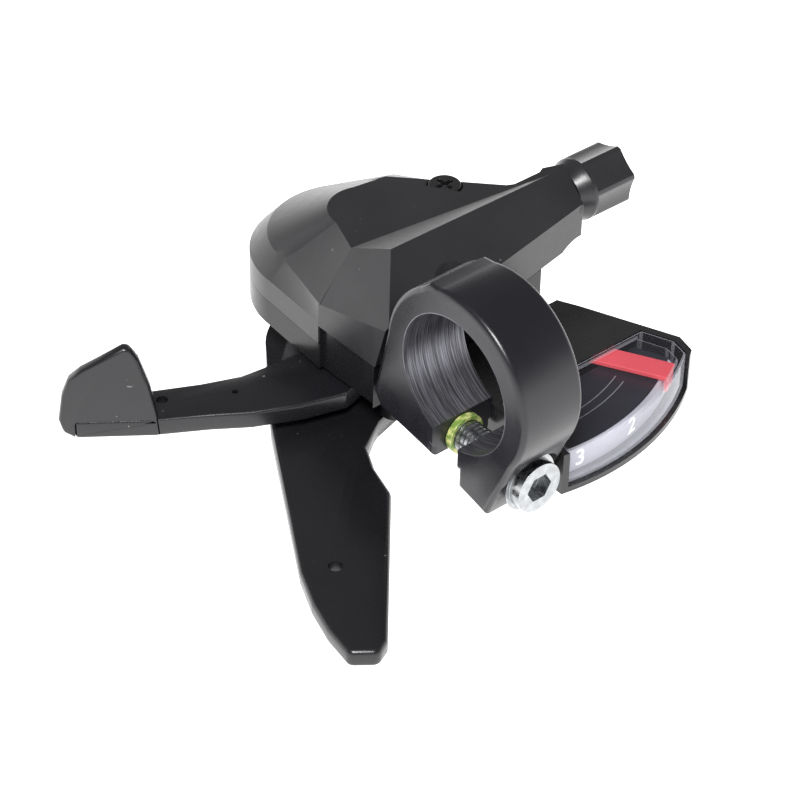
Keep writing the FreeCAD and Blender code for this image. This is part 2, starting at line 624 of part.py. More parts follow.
# ---------------------------------------------------------------- release (finger) lever
release_top, release_thick = size("release_top"), size("release_thick")
release_blade = size("release_blade")
blade_low = release_top - release_blade
shank = prism("release_shank", [
    (-40.8, 45.9), (-41.9, 44.3), (-32.1, 37.07), (-25.0, 33.0), (-19.8, 29.5), (-12.8, 26.2),
    (-6.0, 24.2), polar(size("hub_release"), -100.0), (PX, PY), polar(size("hub_release"), 150.0),
    (-8.2, 36.8), (-15.4, 37.9), (-21.3, 40.2), (-28.2, 43.6), (-36.0, 46.6)], blade_low, release_blade)
shank_round = round_corners("release_round", shank, [(-40.8, 45.9)], 1.0)
tab_face = sketch("tab_outline", [
    (0.0, 0.0), (12.8, 0.0), (14.6, 1.2), (15.2, 3.5), (14.5, 8.2), (13.4, 11.0), (11.5, 12.7),
    (8.5, 14.5), (5.2, 16.6), (4.2, 16.5), (2.9, 14.4), (1.3, 9.3), (0.3, 3.0)], 0)
place(tab_face, (-31.6, 36.7, blade_low), FreeCAD.Rotation(FreeCAD.Vector(0, 0, 1), 143.5)
      * FreeCAD.Rotation(FreeCAD.Vector(1, 0, 0), 90))
tab_plate = extrude("tab_plate", tab_face, 2.0, (0.595, 0.804, 0))
release_hub = cylinder("release_hub", size("hub_release"), release_thick, (PX, PY, release_low))
release_recess = cut("release_recess",
                     cylinder("release_recess_out", 8.2, 2.6, (PX, PY, release_low - 0.01)),
                     cylinder("release_recess_in", 4.6, 4, (PX, PY, release_low - 1)))
release_x, release_y = polar(size("release_radius"), RELEASE_START)
eye_pad = cylinder("release_eye", 2.6, release_thick, (release_x, release_y, release_low))
release_hole = cylinder("release_hole", 1.2, 20, (release_x, release_y, -32))
shank_holes = [cylinder("shank_hole_0", 0.9, 20, (-28.4, 40.5, -28)),
               cylinder("shank_hole_1", 0.5, 20, (-18.6, 35.1, -28))]
node("release_lever", cut("release_lever_cut", fuse("release_body", shank_round, tab_plate, release_hub,
                                                    eye_pad), release_recess, main_bore, release_hole,
                          *shank_holes))
node("release_pin", cylinder("release_pin_bar", 1.2, pawl_low + pawl_thick - release_low - 0.6,
                             (release_x, release_y, release_low + 0.6)))
node("hold_pawl", pawl("hold", HOLD_AT, 9.2, -72.0, 1.2))
node("hold_pawl_pin", cylinder("hold_pin_bar", 1.2, pin_top - case_floor, (*HOLD_AT, case_floor)))
node("hold_pawl_spring", coil("hold_coil", 1.65, 0.2, 0.6, 3, (*HOLD_AT, coil_low)))

# ---------------------------------------------------------------- cable drum
drum_radius, groove_radius = size("drum_radius"), size("groove_radius")
drum_mid = (drum_low + drum_top) / 2
drum_blank = cylinder("drum_blank", drum_radius, drum_top - drum_low, (PX, PY, drum_low))
groove_out = cylinder("groove_out", drum_radius + 2, 1.8, (PX, PY, drum_mid - 0.9))
groove_in = cylinder("groove_in", groove_radius, 3.0, (PX, PY, drum_mid - 1.5))
drum_groove = cut("drum_groove", groove_out, groove_in)
spring_room = cut("spring_room", cylinder("spring_room_out", 7.6, 4, (PX, PY, drum_top - 3.0)),
                  cylinder("spring_room_in", 4.3, 6, (PX, PY, drum_top - 4.0)))
nipple_x, nipple_y = polar(drum_radius - 1.6, 150.0)
nipple_hole = cylinder("nipple_hole", 1.3, 20, (nipple_x, nipple_y, drum_mid - 0.9))
drum_bore = cylinder("drum_bore", shaft_radius + fit, 20, (PX, PY, -15))
node("cable_drum", cut("cable_drum_cut", drum_blank, drum_groove, spring_room, nipple_hole, drum_bore))

ratchet_low = drum_low - 1.3
teeth = []
for i in range(12):
    angle = 30.0 * i
    teeth.extend([polar(size("ratchet_tip"), angle), polar(size("ratchet_tip") - 1.5, angle + 3.0)])
ratchet_blank = prism("ratchet_blank", teeth, ratchet_low, 1.3)
node("ratchet_wheel", cut("ratchet_cut", ratchet_blank, drum_bore))
node("drum_spring", coil("drum_coil", 5.95, 0.45, 1.0, 2, (PX, PY, drum_top - 2.4)))
node("release_spring", coil("release_coil", 6.4, 0.4, 1.0, 1.5, (PX, PY, release_low + 0.5)))
node("main_spring", coil("main_coil", 7.0, 0.45, 1.0, 1.5, (PX, PY, main_low + 0.55)))

# ---------------------------------------------------------------- barrel adjuster
adjuster_radius = size("adjuster_dia") / 2
barrel_at = (neck_end + 0.3, adjuster_y, adjuster_z)
barrel = cylinder("barrel", adjuster_radius, size("adjuster_len"), barrel_at, "X")
collar = cone("barrel_collar", 3.9, adjuster_radius, 2.2, barrel_at, "X")
barrel_rear = cylinder("barrel_rear", adjuster_radius + 2, 2.2, barrel_at, "X")
barrel_waist = cut("barrel_waist", barrel, cut("barrel_taper", barrel_rear, collar))
FLAT_RADIUS, FLAT_REACH = 12.0, 16.45
flats = []
for i in range(6):
    angle = math.radians(60.0 * i + 12.0)
    flat_at = (neck_end + 3.0, adjuster_y + FLAT_REACH * math.cos(angle),
               adjuster_z + FLAT_REACH * math.sin(angle))
    flats.append(cylinder("barrel_flat_%d" % i, FLAT_RADIUS, 12, flat_at, "X"))
spigot_bar = cylinder("spigot_bar", spigot, 12.0, (neck_end - 11.0, adjuster_y, adjuster_z), "X")
cable_hole = cylinder("cable_hole", 1.1, 40, (neck_end - 20, adjuster_y, adjuster_z), "X")
housing_seat = cylinder("housing_seat", size("cable_bore") / 2, 7.0,
                        (neck_end + size("adjuster_len") + 0.3 - 6.0, adjuster_y, adjuster_z), "X")
node("barrel_adjuster", cut("barrel_cut", fuse("barrel_body", barrel_waist, spigot_bar), cable_hole,
                            housing_seat, *flats))
node("adjuster_spring", place(coil("adjuster_coil", 3.15, 0.28, 1.1, 3, (0, 0, 0)),
                              (neck_end - 4.0, adjuster_y, adjuster_z), TURNS["X"]))

# ---------------------------------------------------------------- gear indicator
NX, NY = size("needle_x"), size("needle_y")
needle_low, needle_thick = size("needle_low"), size("needle_thick")
lens_top, tray_low = size("lens_top"), size("tray_low")
lens_radius, lens_wall = size("lens_radius"), size("lens_wall")
dial_radius, window_y = size("dial_radius"), size("window_y")
centre = (NX, NY)


def sector(name, outline, radius, low, height):
    """A piece of a disc about the needle pivot, kept inside a straight-sided outline."""
    disc = cylinder(name + "_disc", radius, height, (NX, NY, low))
    return common(name, disc, prism(name + "_limits", outline, low, height))


tray_outline = [(6.1, 17.6), (6.1, -16.0), (38.6, -16.0), (38.9, -5.0), (39.8, -1.5), (33.3, 14.1),
                (31.6, 17.6)]
tray_inner = [(7.2, 17.7), (7.2, -18.0), (37.7, -18.0), (37.7, -5.2), (38.5, -1.6), (32.4, 13.2),
              (30.4, 17.7)]
tray_opening = [(7.2, window_y), (7.2, -18.0), (37.7, -18.0), (37.7, -5.2), (38.5, -1.6), (36.4, window_y)]
lens_outline = [(7.3, window_y - 0.1), (7.3, -18.0), (37.5, -18.0), (37.6, -5.2), (38.4, -1.6),
                (36.3, window_y - 0.1)]
lens_inner = [(8.3, 8.0), (8.3, -18.0), (36.6, -18.0), (36.6, -4.8), (37.4, -1.4), (33.6, 8.0)]
dial_outline = [(8.6, 3.3), (8.6, -18.0), (36.3, -18.0), (36.3, -4.7), (37.0, -1.5), (35.0, 3.3)]

tray_floor = tray_low + 1.0
tray_height = lens_top - tray_low
tray_block = sector("tray_block", tray_outline, lens_radius + 0.7, tray_low, tray_height)
tray_room = prism("tray_room", tray_inner, tray_floor, tray_height - 1.9)
tray_window = prism("tray_window", tray_opening, tray_floor, 12)
tray_tongue = prism("tray_tongue", [(14.0, 17.0), (14.0, 22.0), (22.0, 28.0), (28.6, 27.0), (29.0, 17.0)],
                    -17.2, 1.5)
tray_web = prism("tray_web", [(14.0, 16.4), (14.0, 17.8), (29.0, 17.8), (29.0, 16.4)], tray_low, 3.7)
tray_hole = cylinder("tray_hole", 1.4, 8, (*TRAY_SCREW, -20))
node("indicator_tray", cut("tray_cut", fuse("tray_body", tray_block, tray_tongue, tray_web), tray_room,
                           tray_window, tray_hole))

lens_block = sector("lens_block", lens_outline, lens_radius, tray_floor, lens_top - tray_floor)
lens_hollow = sector("lens_hollow", lens_inner, lens_radius - lens_wall, tray_floor - 1,
                     lens_top - lens_wall - tray_floor + 1)
node("indicator_lens", cut("lens_cut", lens_block, lens_hollow))

dial_low = needle_low - 1.5
dial_disc = sector("dial_disc", dial_outline, dial_radius, dial_low, 1.0)
dial_feet = [cylinder("dial_foot_%d" % i, 1.0, dial_low + 0.1 - tray_floor, (x, y, tray_floor))
             for i, (x, y) in enumerate(((12.0, -3.0), (31.0, -1.0)))]
node("dial_plate", fuse("dial_body", dial_disc, *dial_feet))
band_ring = sector("band_ring", dial_outline, size("scale_radius"), tray_floor,
                   needle_low - 0.5 - tray_floor)
band_hollow = cylinder("band_hollow", dial_radius, 12, (NX, NY, tray_low))
node("gear_scale", cut("gear_scale_cut", band_ring, band_hollow))

NEEDLE_REST = -61.5
needle_hub = cylinder("needle_hub", 2.4, needle_thick, (NX, NY, needle_low))
turn = FreeCAD.Rotation(FreeCAD.Vector(0, 0, 1), NEEDLE_REST)
along = turn.multVec(FreeCAD.Vector(1, 0, 0))
side = turn.multVec(FreeCAD.Vector(0, 1, 0))
scale_radius = size("scale_radius")
tip_radius = scale_radius + 0.9


def needle_bar(name, start, end, width, low, height):
    """A straight bar of the needle along its rest direction."""
    at = (NX + along.x * start - side.x * width / 2, NY + along.y * start - side.y * width / 2, low)
    return box(name, dim(end) - start, width, height, at, turn)


stem = needle_bar("needle_stem", 0.0, 26.0, 2.4, needle_low, needle_thick)
flag = needle_bar("needle_flag", 25.0, tip_radius + 0.5, 4.0, needle_low, needle_thick)
tail = needle_bar("needle_tail", -6.0, 0.0, 2.4, needle_low, needle_thick)
drop = needle_bar("needle_drop", 38.0, tip_radius + 0.5, 3.0, needle_low - 2.4, 2.5)
drop_inside = cylinder("needle_drop_inside", scale_radius + 0.3, 8, (NX, NY, needle_low - 5))
needle_rough = fuse("needle_rough", needle_hub, stem, flag, tail, cut("needle_bend", drop, drop_inside))
needle_rim = cylinder("needle_rim", tip_radius, 8, (NX, NY, needle_low - 5))
needle_pivot_hole = cylinder("needle_pivot_hole", 1.0 + 0.05, 10, (NX, NY, -18))
needle_body = common("needle_body", needle_rough, needle_rim)
node("indicator_needle", cut("needle_cut", needle_body, needle_pivot_hole))
node("needle_pin", cylinder("needle_pin_bar", 1.0, 1.9, (NX, NY, case_floor)))

tray_screw = cross_screw("tray_screw_cross", TRAY_SCREW, 5.0, -17.2, False)
node("tray_screw", tray_screw)

doc.recompute()
for obj in doc.Objects:
    if "Invalid" in obj.State or "Error" in obj.State:
        raise RuntimeError("%s is not in order: %s" % (obj.Name, obj.State))
for part in parts:
    shape = part.Shape
    if shape.isNull() or not shape.isValid() or not shape.Solids:
        raise RuntimeError("%s has no valid solid" % part.Label)
    shape.exportStep(os.path.join(OUT, part.Label + ".step"))
    print(part.Label, len(shape.Solids), round(shape.Volume, 1))
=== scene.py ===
import json
import math

import bmesh
import bpy
from mathutils import Matrix, Vector


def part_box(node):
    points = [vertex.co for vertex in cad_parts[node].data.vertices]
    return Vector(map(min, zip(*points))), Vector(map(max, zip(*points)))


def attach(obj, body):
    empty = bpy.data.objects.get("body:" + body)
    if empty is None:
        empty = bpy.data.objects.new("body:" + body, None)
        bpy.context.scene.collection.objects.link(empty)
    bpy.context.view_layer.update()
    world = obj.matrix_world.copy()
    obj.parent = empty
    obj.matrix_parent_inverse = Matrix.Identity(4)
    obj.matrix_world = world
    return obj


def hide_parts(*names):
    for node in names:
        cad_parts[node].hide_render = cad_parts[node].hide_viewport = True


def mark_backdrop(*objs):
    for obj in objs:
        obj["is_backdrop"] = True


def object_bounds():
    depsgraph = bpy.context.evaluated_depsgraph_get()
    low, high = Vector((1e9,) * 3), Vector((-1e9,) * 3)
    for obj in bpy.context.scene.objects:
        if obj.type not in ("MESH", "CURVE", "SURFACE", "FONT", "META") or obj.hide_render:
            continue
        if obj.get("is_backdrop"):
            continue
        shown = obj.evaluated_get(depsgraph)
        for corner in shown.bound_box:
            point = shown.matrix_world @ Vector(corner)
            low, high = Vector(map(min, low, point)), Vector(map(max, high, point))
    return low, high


bl_info = {
    "name": "Thumb shifter looks",
    "version": (1, 0, 0),
    "blender": (4, 5, 0),
    "location": "3D View > Sidebar > Shifter",
    "description": "Rounded shells, thread, figures, finishes and studio for a handlebar thumb shifter",
    "category": "Object",
}

MM = 0.001

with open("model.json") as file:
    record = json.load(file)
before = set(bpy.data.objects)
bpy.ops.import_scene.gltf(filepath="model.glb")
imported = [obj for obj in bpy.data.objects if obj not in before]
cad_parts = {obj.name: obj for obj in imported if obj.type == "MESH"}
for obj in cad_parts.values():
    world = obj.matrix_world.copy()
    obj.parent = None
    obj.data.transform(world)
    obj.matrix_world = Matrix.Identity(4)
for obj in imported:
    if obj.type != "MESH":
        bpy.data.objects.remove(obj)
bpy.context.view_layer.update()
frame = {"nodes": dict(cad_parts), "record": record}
NODES = frame["nodes"]
BODY_OF = {node: body for body, nodes in frame["record"]["behaviour"]["bodies"].items() for node in nodes}
SLOT_OF = {part["node"]: part["material_slot"] for part in frame["record"]["subparts"]}


def middle(node):
    """Centre of a node's box."""
    low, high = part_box(node)
    return (low + high) / 2


CLAMP_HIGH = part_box("clamp_band")[1]
BOLT_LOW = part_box("clamp_bolt")[0]
SCALE_LOW, SCALE_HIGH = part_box("gear_scale")
NEEDLE_PIVOT = middle("needle_pin")
LEVER_PIVOT = middle("pivot_shaft")

CLAMP_WALL = 4.0 * MM
THREAD_CORE = 2.42 * MM
THREAD_START = 7.0 * MM
THREAD_TURNS = 11
THREAD_STEPS = 30

FLAT_ANGLE = 0.4
LEVER_HUB = 15.6 * MM
# small holes in the levers: x, y and the radius to stay clear of, in millimetres
THUMB_LEVER_HOLES = [(-28.8, -1.4, 1.6)]
RELEASE_LEVER_HOLES = [(-28.4, 40.5, 1.4), (-18.6, 35.1, 1.0)]

LENS_WALL_REACH = 40.0 * MM
DIAL_ARC_RADII = (31.7 * MM, 33.3 * MM)
DIAL_ARC_HALF_WIDTH = 0.075 * MM
DIAL_ARC_END = 12.5 * MM
FIGURE_REACH = 38.63 * MM
# angle of each figure about the needle's pivot, in degrees
FIGURE_ANGLES = {"3": -95.2, "2": -78.4, "1": -61.5}

FLOOR_HALF = 6.0
SENSOR_WIDTH = 36.0
LENS_LENGTH = 135.0
CAMERA_AZIMUTH, CAMERA_ELEVATION, CAMERA_ROLL = -41.22, 38.02, 1.33
AIM_RIGHT, AIM_UP = -12.11 * MM, -4.44 * MM


# ---------------------------------------------------------------- settings

class ShellSettings(bpy.types.PropertyGroup):
    """Edge rounding and colours of the housing."""
    edge: bpy.props.FloatProperty(
        name="Cover edge", description="Rounding of the cover's moulded edges",
        default=0.30 * MM, unit="LENGTH")
    case_edge: bpy.props.FloatProperty(
        name="Case edge", description="Rounding of the lower case's edges",
        default=0.25 * MM, unit="LENGTH")
    black: bpy.props.FloatVectorProperty(
        name="Cover black", description="Colour of the textured cover", default=(0.014, 0.014, 0.016),
        size=3, subtype="COLOR", min=0, max=1)
    grain: bpy.props.FloatProperty(
        name="Spark texture", description="Size of one grain of the moulded texture",
        default=0.22 * MM, unit="LENGTH")


class ClampSettings(bpy.types.PropertyGroup):
    """Finish of the handlebar clamp and its bolt."""
    edge: bpy.props.FloatProperty(
        name="Edge", description="Rounding of the clamp's machined edges",
        default=0.30 * MM, unit="LENGTH")
    black: bpy.props.FloatVectorProperty(
        name="Clamp black", description="Colour of the clamp's coating", default=(0.008, 0.008, 0.011),
        size=3, subtype="COLOR", min=0, max=1)
    pitch: bpy.props.FloatProperty(
        name="Thread pitch", description="Pitch of the clamp bolt's thread",
        default=0.8 * MM, unit="LENGTH")
    ridge: bpy.props.FloatProperty(
        name="Thread height", description="Height of the thread's ridge",
        default=0.22 * MM, unit="LENGTH")


class LeverSettings(bpy.types.PropertyGroup):
    """Rounding and colours of the two levers."""
    main_edge: bpy.props.FloatProperty(
        name="Thumb lever edge", description="Rounding of the thumb lever",
        default=0.9 * MM, unit="LENGTH")
    release_edge: bpy.props.FloatProperty(
        name="Release lever edge", description="Rounding of the release lever",
        default=0.6 * MM, unit="LENGTH")
    main_black: bpy.props.FloatVectorProperty(
        name="Thumb lever black", description="Colour of the thumb lever", default=(0.008, 0.008, 0.0095),
        size=3, subtype="COLOR", min=0, max=1)
    release_grey: bpy.props.FloatVectorProperty(
        name="Release lever grey", description="Colour of the release lever",
        default=(0.009, 0.009, 0.011),
        size=3, subtype="COLOR", min=0, max=1)


class IndicatorSettings(bpy.types.PropertyGroup):
    """The gear window."""
    lens_edge: bpy.props.FloatProperty(
        name="Lens edge", description="Rounding of the clear lens", default=0.35 * MM, unit="LENGTH")
    figure: bpy.props.FloatProperty(
        name="Figure height", description="Height of the figures on the scale",
        default=2.9 * MM, unit="LENGTH")
    red: bpy.props.FloatVectorProperty(
        name="Needle red", description="Colour of the needle", default=(0.90, 0.10, 0.13),
        size=3, subtype="COLOR", min=0, max=1)


class StageSettings(bpy.types.PropertyGroup):
    """Studio and camera."""
    drop: bpy.props.FloatProperty(
        name="Floor drop", description="Gap between the lowest point and the floor", default=12 * MM,
        unit="LENGTH")
    horizon: bpy.props.FloatProperty(
        name="Horizon", description="Brightness of the white walls", default=1.9, min=0.0)
    ceiling: bpy.props.FloatProperty(
        name="Ceiling", description="Brightness of the room overhead", default=0.24, min=0.0)
    glow: bpy.props.FloatProperty(
        name="Floor glow", description="Light that the paper floor gives back", default=1.8, min=0.0)
    key: bpy.props.FloatProperty(
        name="Key light", description="Power of the lamp above the camera", default=6.0, unit="POWER")
    side: bpy.props.FloatProperty(
        name="Side light", description="Power of the lamp beyond the outboard side",
        default=0.22, unit="POWER")
    distance: bpy.props.FloatProperty(
        name="Camera distance", description="Distance from the clamp's bore to the camera",
        default=435.3 * MM, unit="LENGTH")


GROUPS = {
    "shifter_shell": ShellSettings,
    "shifter_clamp": ClampSettings,
    "shifter_lever": LeverSettings,
    "shifter_indicator": IndicatorSettings,
    "shifter_stage": StageSettings,
}


# ---------------------------------------------------------------- materials

def blank_material(name):
    """A new node material, its tree and its shader."""
    material = bpy.data.materials.new("finish_" + name)
    material.use_nodes = True
    tree = material.node_tree
    return material, tree, tree.nodes["Principled BSDF"]


def math_node(tree, operation, first, second=None, third=None):
    """One arithmetic step; each input is a socket or a number."""
    node = tree.nodes.new("ShaderNodeMath")
    node.operation = operation
    for index, value in enumerate((first, second, third)):
        if value is None:
            continue
        if isinstance(value, (int, float)):
            node.inputs[index].default_value = value
        else:
            tree.links.new(value, node.inputs[index])
    return node.outputs[0]


def place_pattern(tree, centre=(0, 0, 0), scale=(1, 1, 1)):
    """Object coordinates measured from a centre and stretched."""
    coordinates = tree.nodes.new("ShaderNodeTexCoord")
    mapping = tree.nodes.new("ShaderNodeMapping")
    mapping.inputs["Scale"].default_value = scale
    mapping.inputs["Location"].default_value = [-c * s for c, s in zip(centre, scale)]
    tree.links.new(coordinates.outputs["Object"], mapping.inputs["Vector"])
    return mapping.outputs["Vector"]


def noise(tree, vector, scale, detail=2.0, rough=0.5):
    """A noise value over a vector."""
    node = tree.nodes.new("ShaderNodeTexNoise")
    node.inputs["Scale"].default_value = scale
    node.inputs["Detail"].default_value = detail
    node.inputs["Roughness"].default_value = rough
    tree.links.new(vector, node.inputs["Vector"])
    return node.outputs["Fac"]


def spread(tree, value, low, high, from_low=0.3, from_high=0.7):
    """A value moved from one range to another."""
    node = tree.nodes.new("ShaderNodeMapRange")
    tree.links.new(value, node.inputs["Value"])
    limits = {"From Min": from_low, "From Max": from_high, "To Min": low, "To Max": high}
    for name, number in limits.items():
        node.inputs[name].default_value = number
    return node.outputs["Result"]


def blend_colours(tree, factor, first, second):
    """Two colours mixed by a factor; each is a socket or three numbers."""
    node = tree.nodes.new("ShaderNodeMix")
    node.data_type = "RGBA"
    tree.links.new(factor, node.inputs["Factor"])
    for key, value in (("A", first), ("B", second)):
        socket = [s for s in node.inputs if s.name == key and s.type == "RGBA"][0]
        if isinstance(value, (tuple, list)):
            socket.default_value = (*value, 1.0)
        else:
            tree.links.new(value, socket)
    return [s for s in node.outputs if s.type == "RGBA"][0]


def bump(tree, shader, height, distance, strength=1.0):
    """Relief on a shader's normal."""
    node = tree.nodes.new("ShaderNodeBump")
    node.inputs["Distance"].default_value = distance
    node.inputs["Strength"].default_value = strength
    tree.links.new(height, node.inputs["Height"])
    tree.links.new(node.outputs["Normal"], shader.inputs["Normal"])


def shaded(colour, factor):
    """A colour made lighter or darker."""
    return tuple(min(1.0, c * factor) for c in colour)


def moulded_plastic(name, colour, roughness, grain, relief=0.012 * MM, dust=0.0, specular=0.5, glow=0.0):
    """Moulded plastic: fine spark texture, slow colour drift, worn gloss, a few pale specks and, where
    glow is set, a painted glow in its own colour.
    """
    material, tree, shader = blank_material(name)
    vector = place_pattern(tree)
    drift = spread(tree, noise(tree, vector, 70.0, 3.0), 0.0, 1.0)
    base = blend_colours(tree, drift, shaded(colour, 0.82), shaded(colour, 1.2))
    if dust:
        specks = math_node(tree, "GREATER_THAN", noise(tree, vector, 900.0, 1.0), 0.795)
        base = blend_colours(tree, math_node(tree, "MULTIPLY", specks, dust), base, (0.3, 0.3, 0.3))
    tree.links.new(base, shader.inputs["Base Color"])
    wear = noise(tree, vector, 800.0, 3.0)
    tree.links.new(spread(tree, wear, roughness - 0.025, roughness + 0.025), shader.inputs["Roughness"])
    shader.inputs["Specular IOR Level"].default_value = specular
    # painted glow: the plastic gives off light in its own colour though it is no lamp
    shader.inputs["Emission Color"].default_value = (*colour, 1.0)
    shader.inputs["Emission Strength"].default_value = glow
    bump(tree, shader, noise(tree, vector, 1.0 / grain, 2.0, 0.6), relief)
    return material


def metal(name, colour, roughness):
    """Bright metal with a fine mottle."""
    material, tree, shader = blank_material(name)
    shader.inputs["Metallic"].default_value = 1.0
    vector = place_pattern(tree)
    drift = spread(tree, noise(tree, vector, 900.0, 3.0), 0.0, 1.0)
    tree.links.new(blend_colours(tree, drift, shaded(colour, 0.8), shaded(colour, 1.12)),
                   shader.inputs["Base Color"])
    tree.links.new(spread(tree, noise(tree, vector, 1500.0, 2.0), roughness - 0.06, roughness + 0.1),
                   shader.inputs["Roughness"])
    bump(tree, shader, noise(tree, vector, 1800.0, 2.0), 0.004 * MM)
    return material


def coated_clamp(name, colour, bore):
    """Gloss black coating, with fine turning lines where the bore was machined after coating."""
    material, tree, shader = blank_material(name)
    vector = place_pattern(tree)
    from_axis = place_pattern(tree, scale=(0, 1, 1))
    length = tree.nodes.new("ShaderNodeVectorMath")
    length.operation = "LENGTH"
    tree.links.new(from_axis, length.inputs[0])
    in_bore = math_node(tree, "LESS_THAN", length.outputs["Value"], bore + 0.12 * MM)
    along = place_pattern(tree, scale=(1, 0.02, 0.02))
    lines = noise(tree, along, 5200.0, 3.0, 0.7)
    drift = spread(tree, noise(tree, vector, 55.0, 2.0), 0.0, 1.0)
    coat = blend_colours(tree, drift, shaded(colour, 0.85), shaded(colour, 1.25))
    machined = blend_colours(tree, spread(tree, lines, 0.0, 1.0, 0.42, 0.62), (0.06, 0.06, 0.068),
                             (0.24, 0.24, 0.27))
    tree.links.new(blend_colours(tree, in_bore, coat, machined), shader.inputs["Base Color"])
    smooth = spread(tree, noise(tree, vector, 180.0, 3.0), 0.24, 0.32)
    rough = math_node(tree, "MULTIPLY_ADD", in_bore, 0.04, smooth)
    tree.links.new(rough, shader.inputs["Roughness"])
    tree.links.new(math_node(tree, "MULTIPLY", in_bore, 0.75), shader.inputs["Metallic"])
    orange_peel = noise(tree, vector, 700.0, 2.0)
    height = math_node(tree, "ADD", math_node(tree, "MULTIPLY", orange_peel, 0.25),
                       math_node(tree, "MULTIPLY", lines, math_node(tree, "MULTIPLY", in_bore, 0.5)))
    bump(tree, shader, height, 0.02 * MM)
    return material


def printed_dial(name):
    """Blue-black dial with two thin pale arcs about the needle's pivot."""
    material, tree, shader = blank_material(name)
    centre = (NEEDLE_PIVOT.x, NEEDLE_PIVOT.y, 0)
    flat = place_pattern(tree, centre, (1, 1, 0))
    length = tree.nodes.new("ShaderNodeVectorMath")
    length.operation = "LENGTH"
    tree.links.new(flat, length.inputs[0])
    split = tree.nodes.new("ShaderNodeSeparateXYZ")
    tree.links.new(flat, split.inputs[0])
    arcs = [math_node(tree, "COMPARE", length.outputs["Value"], radius, DIAL_ARC_HALF_WIDTH)
            for radius in DIAL_ARC_RADII]
    either = math_node(tree, "MAXIMUM", *arcs)
    left_of = math_node(tree, "LESS_THAN", split.outputs["X"], DIAL_ARC_END)
    line = math_node(tree, "MULTIPLY", math_node(tree, "MULTIPLY", either, left_of), 0.6)
    vector = place_pattern(tree)
    drift = spread(tree, noise(tree, vector, 90.0, 3.0), 0.0, 1.0)
    ink = blend_colours(tree, drift, (0.016, 0.017, 0.026), (0.030, 0.031, 0.046))
    tree.links.new(blend_colours(tree, line, ink, (0.55, 0.57, 0.62)), shader.inputs["Base Color"])
    tree.links.new(spread(tree, noise(tree, vector, 500.0), 0.3, 0.42), shader.inputs["Roughness"])
    bump(tree, shader, noise(tree, vector, 2200.0), 0.006 * MM)
    return material


def clear_lens(name, low, high, tint):
    """Clear polycarbonate whose tint grows more solid at a grazing look, a painted reflection of the
    room.
    """
    material, tree, shader = blank_material(name)
    shader.inputs["Base Color"].default_value = (*tint, 1.0)
    shader.inputs["IOR"].default_value = 1.58
    vector = place_pattern(tree)
    tree.links.new(spread(tree, noise(tree, vector, 300.0, 3.0), 0.03, 0.08), shader.inputs["Roughness"])
    # painted reflection: the tint's alpha rises toward grazing view angles
    grazing = tree.nodes.new("ShaderNodeLayerWeight")
    grazing.inputs["Blend"].default_value = 0.35
    tree.links.new(spread(tree, grazing.outputs["Facing"], low, high, 0.05, 0.95), shader.inputs["Alpha"])
    bump(tree, shader, noise(tree, vector, 120.0, 2.0), 0.01 * MM, 0.4)
    return material


def lock_patch(name):
    """Green thread-lock ring with yellow smears."""
    material, tree, shader = blank_material(name)
    vector = place_pattern(tree)
    smear = spread(tree, noise(tree, vector, 900.0, 3.0), 0.0, 1.0, 0.47, 0.66)
    tree.links.new(blend_colours(tree, smear, (0.16, 0.26, 0.05), (0.60, 0.60, 0.24)),
                   shader.inputs["Base Color"])
    shader.inputs["Roughness"].default_value = 0.35
    bump(tree, shader, smear, 0.03 * MM)
    return material


